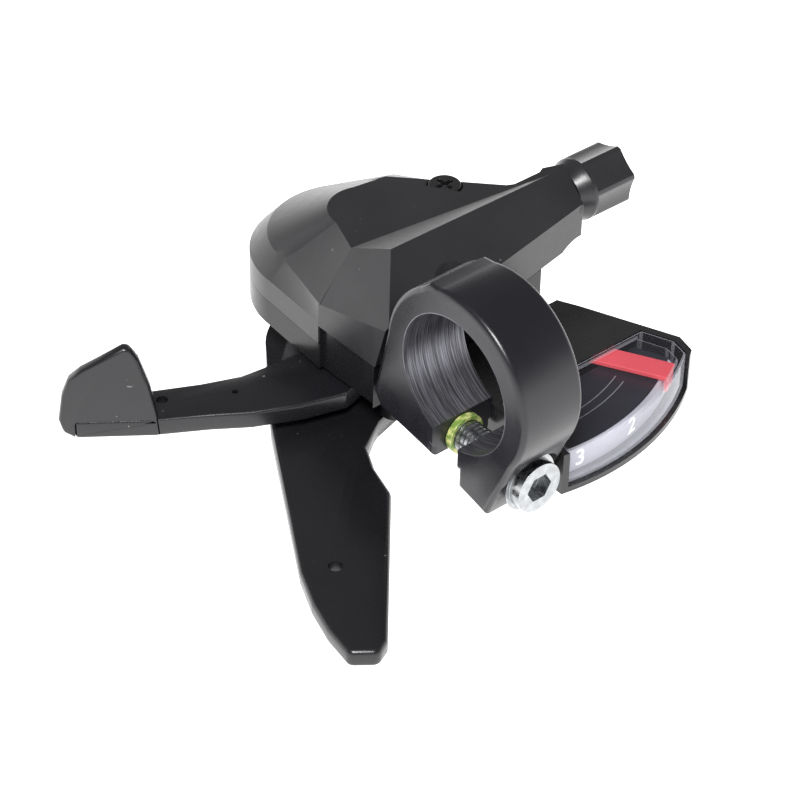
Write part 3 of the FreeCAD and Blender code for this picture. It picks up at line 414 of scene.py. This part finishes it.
def make_finishes(scene):
    """One material for each material slot of the record, and a few for faces of a piece."""
    shell, clamp = scene.shifter_shell, scene.shifter_clamp
    lever, indicator = scene.shifter_lever, scene.shifter_indicator
    bore = CLAMP_HIGH.z - CLAMP_WALL
    return {
        "cover_black": moulded_plastic(
            "cover_black", shell.black, 0.34, shell.grain, 0.0045 * MM, 0.25),
        "case_black": moulded_plastic(
            "case_black", shaded(shell.black, 0.6), 0.28, shell.grain, 0.0025 * MM, specular=0.25),
        "clamp_gloss_black": coated_clamp("clamp_gloss_black", clamp.black, bore),
        "zinc_bolt": metal("zinc_bolt", (0.40, 0.41, 0.42), 0.24),
        "lock_ring_green": lock_patch("lock_ring_green"),
        "plain_steel": metal("plain_steel", (0.50, 0.50, 0.51), 0.34),
        "spring_steel": metal("spring_steel", (0.42, 0.42, 0.44), 0.28),
        "screw_black": moulded_plastic(
            "screw_black", (0.012, 0.012, 0.013), 0.16, 0.3 * MM, 0.003 * MM),
        "slip_plastic": moulded_plastic("slip_plastic", (0.72, 0.72, 0.69), 0.45, 0.3 * MM),
        "cap_black": moulded_plastic("cap_black", (0.02, 0.02, 0.02), 0.42, 0.3 * MM),
        "main_lever_black": moulded_plastic(
            "main_lever_black", lever.main_black, 0.28, 0.2 * MM, 0.003 * MM, 0.3),
        "release_lever_grey": moulded_plastic(
            "release_lever_grey", lever.release_grey, 0.28, 0.2 * MM, 0.002 * MM, 0.4),
        "drum_plastic": moulded_plastic("drum_plastic", (0.16, 0.16, 0.17), 0.42, 0.3 * MM),
        "adjuster_black": moulded_plastic(
            "adjuster_black", (0.020, 0.020, 0.023), 0.28, 0.25 * MM, 0.0022 * MM),
        "tray_black": moulded_plastic(
            "tray_black", (0.014, 0.014, 0.015), 0.26, 0.22 * MM, 0.002 * MM, 0.4),
        "lens_clear": clear_lens("lens_clear", 0.08, 0.35, (0.05, 0.05, 0.06)),
        # pale tint on the lens's outer wall and rounded edges: a painted highlight
        "lens_rim_highlight": clear_lens("lens_rim_highlight", 0.22, 0.6, (0.58, 0.59, 0.66)),
        "dial_blue_black": printed_dial("dial_blue_black"),
        # painted glow on the scale, the figures and the needle, standing in for the light that falls on
        # them
        "scale_light_grey": moulded_plastic(
            "scale_light_grey", (0.56, 0.56, 0.64), 0.4, 0.4 * MM, 0.006 * MM, glow=0.22),
        "figure_white": moulded_plastic(
            "figure_white", (0.92, 0.92, 0.93), 0.45, 0.3 * MM, 0.002 * MM, glow=0.9),
        "needle_red": moulded_plastic(
            "needle_red", indicator.red, 0.38, 0.3 * MM, 0.006 * MM, glow=0.25),
    }


def finish(name):
    """A finish by its slot name."""
    return bpy.data.materials["finish_" + name]


# ---------------------------------------------------------------- shells

def welded_copy(node):
    """A CAD node's surface as a bmesh, welded, with its flat faces joined up."""
    bm = bmesh.new()
    bm.from_mesh(NODES[node].data)
    bmesh.ops.remove_doubles(bm, verts=bm.verts[:], dist=1e-6)
    bmesh.ops.dissolve_limit(bm, angle_limit=math.radians(FLAT_ANGLE), verts=bm.verts[:],
                             edges=bm.edges[:])
    return bm


def settle(name, bm, body, materials, smooth=38.0):
    """Turn a bmesh into a piece that rides on its body."""
    for face in bm.faces:
        face.smooth = True
    for edge in bm.edges:
        if len(edge.link_faces) == 2 and edge.calc_face_angle(0.0) > math.radians(smooth):
            edge.smooth = False
    mesh = bpy.data.meshes.new(name)
    bm.to_mesh(mesh)
    bm.free()
    for material in materials:
        mesh.materials.append(finish(material))
    piece = bpy.data.objects.new(name, mesh)
    bpy.context.scene.collection.objects.link(piece)
    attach(piece, body)
    return piece


def rounded(node, name, width, segments=2, angle=28.0, rim=None, smooth=38.0, paint=None):
    """A CAD node with rounded edges; rim is a second finish for those strips and what paint marks."""
    bm = welded_copy(node)
    materials = [SLOT_OF[node]] + ([rim] if rim else [])
    if paint:
        paint(bm)
    piece = settle(name, bm, BODY_OF[node], materials, smooth)
    bevel = piece.modifiers.new("rounding", "BEVEL")
    bevel.width = width
    bevel.segments = segments
    bevel.limit_method = "ANGLE"
    bevel.angle_limit = math.radians(angle)
    bevel.harden_normals = True
    bevel.use_clamp_overlap = True
    bevel.material = 1 if rim else -1
    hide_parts(node)
    return piece


def softened(node, name, width, segments, holes, sharp=40.0):
    """A lever with wide soft edges everywhere outside its hub and away from its small holes."""
    bm = welded_copy(node)

    def outside(vert):
        past_hub = math.hypot(vert.co.x - LEVER_PIVOT.x, vert.co.y - LEVER_PIVOT.y) > LEVER_HUB
        return past_hub and all(
            math.hypot(vert.co.x - x * MM, vert.co.y - y * MM) > radius * MM for x, y, radius in holes)

    edges = [e for e in bm.edges if len(e.link_faces) == 2 and all(outside(v) for v in e.verts)
             and e.is_convex and e.calc_face_angle(0.0) > math.radians(sharp)]
    bmesh.ops.bevel(bm, geom=edges, offset=width, offset_type="OFFSET", segments=segments, profile=0.5,
                    affect="EDGES", clamp_overlap=False)
    piece = settle(name, bm, BODY_OF[node], [SLOT_OF[node]], 45.0)
    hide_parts(node)
    return piece


def dress(node):
    """Give a CAD node that keeps its own shape its finish."""
    mesh = NODES[node].data
    mesh.materials.clear()
    mesh.materials.append(finish(SLOT_OF[node]))


# ---------------------------------------------------------------- operators

class SHIFTER_OT_finishes(bpy.types.Operator):
    """Make every finish and put it on the hidden works, which keep their CAD shape"""
    bl_idname = "shifter.finishes"
    bl_label = "Finishes"

    def execute(self, context):
        make_finishes(context.scene)
        for node in NODES:
            dress(node)
        return {"FINISHED"}


class SHIFTER_OT_cover(bpy.types.Operator):
    """Round the edges of the top cover, the lower case and their screws"""
    bl_idname = "shifter.cover"
    bl_label = "Cover and case"

    def execute(self, context):
        shell = context.scene.shifter_shell
        rounded("top_cover", "cover_shell", shell.edge, 2, 11.0, smooth=11.0)
        rounded("lower_case", "case_shell", shell.case_edge, 2)
        rounded("cover_screws", "cover_screw_heads", 0.18 * MM, 3)
        return {"FINISHED"}


class SHIFTER_OT_clamp(bpy.types.Operator):
    """Round the handlebar clamp and its lock ring"""
    bl_idname = "shifter.clamp"
    bl_label = "Handlebar clamp"

    def execute(self, context):
        clamp = context.scene.shifter_clamp
        rounded("clamp_band", "clamp_body", clamp.edge, 3, 32.0)
        rounded("clamp_lock_ring", "lock_ring", 0.2 * MM, 3)
        return {"FINISHED"}


class SHIFTER_OT_bolt(bpy.types.Operator):
    """Round the clamp bolt's head and cut its thread as one helical ridge"""
    bl_idname = "shifter.bolt"
    bl_label = "Clamp bolt"

    def execute(self, context):
        clamp = context.scene.shifter_clamp
        rounded("clamp_bolt", "bolt_body", 0.22 * MM, 3)
        axis = middle("clamp_bolt")
        start = BOLT_LOW.y + THREAD_START
        root, crest = THREAD_CORE - 0.08 * MM, THREAD_CORE + clamp.ridge
        section = [(0.0, root), (clamp.pitch * 0.38, root),
                   (clamp.pitch * 0.24, crest), (clamp.pitch * 0.14, crest)]
        bm = bmesh.new()
        corners = [bm.verts.new((axis.x, start + along, axis.z + radius)) for along, radius in section]
        profile = bm.faces.new(corners)
        bmesh.ops.spin(bm, geom=[profile, *profile.edges, *corners], cent=(axis.x, start, axis.z),
                       axis=(0, 1, 0), dvec=(0, clamp.pitch / THREAD_STEPS, 0),
                       angle=math.tau * THREAD_TURNS, steps=THREAD_TURNS * THREAD_STEPS,
                       use_duplicate=False)
        bmesh.ops.holes_fill(bm, edges=[e for e in bm.edges if e.is_boundary], sides=4)
        bmesh.ops.recalc_face_normals(bm, faces=bm.faces[:])
        zinc = SLOT_OF["clamp_bolt"]
        settle("bolt_thread", bm, BODY_OF["clamp_bolt"], [zinc], 50.0)
        return {"FINISHED"}


class SHIFTER_OT_levers(bpy.types.Operator):
    """Round the thumb lever, the release lever, their shaft and the cap under them"""
    bl_idname = "shifter.levers"
    bl_label = "Levers"

    def execute(self, context):
        lever = context.scene.shifter_lever
        softened("main_lever", "thumb_lever", lever.main_edge, 5, THUMB_LEVER_HOLES)
        softened("release_lever", "release_trigger", lever.release_edge, 4, RELEASE_LEVER_HOLES)
        rounded("bottom_cap", "pivot_cap", 0.3 * MM, 3)
        rounded("pivot_shaft", "pivot_bolt", 0.25 * MM, 3)
        return {"FINISHED"}


class SHIFTER_OT_adjuster(bpy.types.Operator):
    """Round the cable adjuster's barrel"""
    bl_idname = "shifter.adjuster"
    bl_label = "Cable adjuster"

    def execute(self, context):
        rounded("barrel_adjuster", "adjuster_barrel", 0.35 * MM, 3, 24.0)
        return {"FINISHED"}


class SHIFTER_OT_indicator(bpy.types.Operator):
    """Round the indicator's tray, lens, needle and screw"""
    bl_idname = "shifter.indicator"
    bl_label = "Gear indicator"

    @staticmethod
    def paint_rim_highlight(bm):
        """Paint a pale highlight on the lens's curved outer wall."""
        for face in bm.faces:
            spot = face.calc_center_median()
            reach = math.hypot(spot.x - NEEDLE_PIVOT.x, spot.y - NEEDLE_PIVOT.y)
            if abs(face.normal.z) < 0.3 and reach > LENS_WALL_REACH:
                face.material_index = 1

    def execute(self, context):
        indicator = context.scene.shifter_indicator
        rounded("indicator_tray", "window_tray", 0.3 * MM, 3)
        # the lens's rounded edges and outer wall get the painted rim highlight
        rounded("indicator_lens", "window_lens", indicator.lens_edge, 3, 30.0, rim="lens_rim_highlight",
                paint=self.paint_rim_highlight)
        rounded("indicator_needle", "needle_blade", 0.2 * MM, 2)
        rounded("tray_screw", "tray_screw_head", 0.15 * MM, 2)
        return {"FINISHED"}


class SHIFTER_OT_figures(bpy.types.Operator):
    """Print the gear figures on the scale's outer wall"""
    bl_idname = "shifter.figures"
    bl_label = "Scale figures"

    def execute(self, context):
        height = context.scene.shifter_indicator.figure
        level = (SCALE_LOW.z + SCALE_HIGH.z) / 2
        for figure, degrees in FIGURE_ANGLES.items():
            curve = bpy.data.curves.new("figure_%s_outline" % figure, "FONT")
            curve.body = figure
            curve.size = height * 1.42
            curve.extrude = 0.03 * MM
            curve.align_x = "CENTER"
            curve.align_y = "CENTER"
            flat = bpy.data.objects.new("figure_%s_flat" % figure, curve)
            context.scene.collection.objects.link(flat)
            context.view_layer.update()
            mesh = bpy.data.meshes.new_from_object(flat)
            bpy.data.objects.remove(flat)
            angle = math.radians(degrees)
            spot = Vector((NEEDLE_PIVOT.x + FIGURE_REACH * math.cos(angle),
                           NEEDLE_PIVOT.y + FIGURE_REACH * math.sin(angle), level))
            bm = bmesh.new()
            bm.from_mesh(mesh)
            bpy.data.meshes.remove(mesh)
            turn = Matrix.Rotation(angle + math.pi / 2, 4, "Z") @ Matrix.Rotation(math.pi / 2, 4, "X")
            bmesh.ops.transform(bm, matrix=Matrix.Translation(spot) @ turn, verts=bm.verts[:])
            bmesh.ops.remove_doubles(bm, verts=bm.verts[:], dist=1e-7)
            settle("figure_%s" % figure, bm, BODY_OF["gear_scale"],
                   ["figure_white"])
        return {"FINISHED"}


class SHIFTER_OT_stage(bpy.types.Operator):
    """Floor, soft studio light and camera"""
    bl_idname = "shifter.stage"
    bl_label = "Studio"

    def execute(self, context):
        stage = context.scene.shifter_stage
        low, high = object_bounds()
        centre = (low + high) / 2

        bm = bmesh.new()
        bmesh.ops.create_grid(bm, x_segments=1, y_segments=1, size=FLOOR_HALF)
        bmesh.ops.translate(bm, verts=bm.verts[:], vec=(centre.x, centre.y, low.z - stage.drop))
        mesh = bpy.data.meshes.new("floor")
        bm.to_mesh(mesh)
        bm.free()
        floor = bpy.data.objects.new("floor", mesh)
        paper, tree, shader = blank_material("paper")
        shader.inputs["Base Color"].default_value = (0.16, 0.16, 0.16, 1.0)
        shader.inputs["Roughness"].default_value = 0.9
        shader.inputs["Emission Color"].default_value = (1.0, 1.0, 1.0, 1.0)
        shader.inputs["Emission Strength"].default_value = stage.glow
        mesh.materials.append(paper)
        context.scene.collection.objects.link(floor)

        world = bpy.data.worlds.new("studio")
        context.scene.world = world
        world.use_nodes = True
        sky = world.node_tree
        split = sky.nodes.new("ShaderNodeSeparateXYZ")
        sky.links.new(sky.nodes.new("ShaderNodeTexCoord").outputs["Generated"], split.inputs[0])
        glow = spread(sky, split.outputs["Z"], stage.horizon, stage.ceiling, 0.0, 0.36)
        sky.links.new(glow, sky.nodes["Background"].inputs["Strength"])
        sky.nodes["Background"].inputs["Color"].default_value = (1.0, 1.0, 1.0, 1.0)

        lamps = []
        for name, offset, size, power in (
                ("key_box", (-0.32, -0.25, 0.57), (0.22, 0.22), stage.key),
                ("side_box", (-0.34, 0.53, 0.17), (0.30, 0.18), stage.side)):
            light = bpy.data.lights.new(name, "AREA")
            light.shape = "RECTANGLE"
            light.size, light.size_y = size
            light.energy = power
            lamp = bpy.data.objects.new(name, light)
            lamp.location = centre + Vector(offset)
            lamp.rotation_mode = "QUATERNION"
            lamp.rotation_quaternion = Vector(offset).to_track_quat("Z", "Y")
            context.scene.collection.objects.link(lamp)
            lamps.append(lamp)

        camera_data = bpy.data.cameras.new("camera")
        camera_data.sensor_width = SENSOR_WIDTH
        camera_data.lens = LENS_LENGTH
        camera_data.clip_start = 0.01
        camera = bpy.data.objects.new("camera", camera_data)
        azimuth = math.radians(CAMERA_AZIMUTH)
        elevation = math.radians(CAMERA_ELEVATION)
        roll = math.radians(CAMERA_ROLL)
        back = Vector((math.sin(azimuth) * math.cos(elevation), -math.cos(azimuth) * math.cos(elevation),
                       math.sin(elevation)))
        level = Vector((math.cos(azimuth), math.sin(azimuth), 0))
        over = back.cross(level)
        right = math.cos(roll) * level + math.sin(roll) * over
        up = -math.sin(roll) * level + math.cos(roll) * over
        aim = AIM_RIGHT * right + AIM_UP * up
        where = aim + stage.distance * back
        camera.matrix_world = Matrix((
            (right.x, up.x, back.x, where.x), (right.y, up.y, back.y, where.y),
            (right.z, up.z, back.z, where.z), (0, 0, 0, 1)))
        context.scene.collection.objects.link(camera)
        context.scene.camera = camera
        context.scene.view_settings.view_transform = "Standard"
        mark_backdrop(floor, camera, *lamps)
        return {"FINISHED"}


class SHIFTER_PT_panel(bpy.types.Panel):
    """Sidebar panel with every step"""
    bl_idname = "SHIFTER_PT_panel"
    bl_label = "Thumb shifter"
    bl_space_type = "VIEW_3D"
    bl_region_type = "UI"
    bl_category = "Shifter"

    def draw(self, context):
        for group, settings in GROUPS.items():
            box = self.layout.box()
            for name in settings.__annotations__:
                box.prop(getattr(context.scene, group), name)
        for operator in STEPS:
            self.layout.operator(operator.bl_idname)


STEPS = (SHIFTER_OT_finishes, SHIFTER_OT_cover, SHIFTER_OT_clamp, SHIFTER_OT_bolt, SHIFTER_OT_levers,
         SHIFTER_OT_adjuster, SHIFTER_OT_indicator, SHIFTER_OT_figures, SHIFTER_OT_stage)


def register():
    """Register settings, operators and the panel."""
    for group, settings in GROUPS.items():
        bpy.utils.register_class(settings)
        setattr(bpy.types.Scene, group, bpy.props.PointerProperty(type=settings))
    for operator in STEPS:
        bpy.utils.register_class(operator)
    bpy.utils.register_class(SHIFTER_PT_panel)


def unregister():
    """Take everything back out."""
    bpy.utils.unregister_class(SHIFTER_PT_panel)
    for operator in reversed(STEPS):
        bpy.utils.unregister_class(operator)
    for group, settings in GROUPS.items():
        delattr(bpy.types.Scene, group)
        bpy.utils.unregister_class(settings)


def main():
    """Build the looks in order."""
    register()
    for operator in STEPS:
        group, name = operator.bl_idname.split(".")
        getattr(getattr(bpy.ops, group), name)()


if __name__ == "__main__":
    main()
